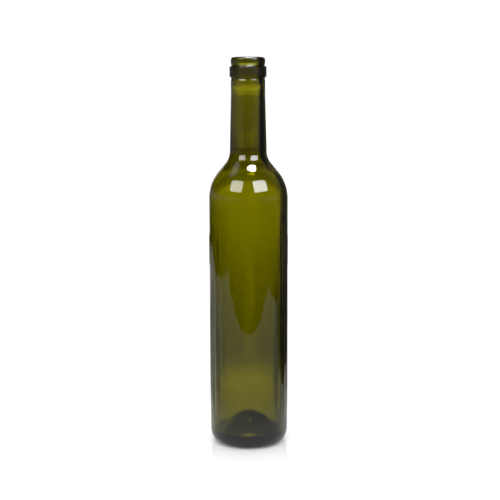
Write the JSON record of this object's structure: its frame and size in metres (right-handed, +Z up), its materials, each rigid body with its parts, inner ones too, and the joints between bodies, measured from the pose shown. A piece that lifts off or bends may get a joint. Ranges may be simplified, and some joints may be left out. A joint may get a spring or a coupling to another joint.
{
  "type": "wine bottle",
  "caption": "Slim glass wine bottle, empty and open, with round shoulder, long neck, ring and lip for a cork, and a punt pushed up into the base.",
  "frame": {"origin": "centre of the ring the bottle stands on", "axes": "+Z up along the bottle's axis, towards the mouth; the bottle is round, so +X and +Y are free and -Y is the side towards the camera"},
  "size_m": [0.0636, 0.0636, 0.3115],
  "materials": {
    "glass": "glossy olive green bottle glass, see-through"
  },
  "bodies": {
    "root": {"bottle": "glass"}
  },
  "joints": []
}
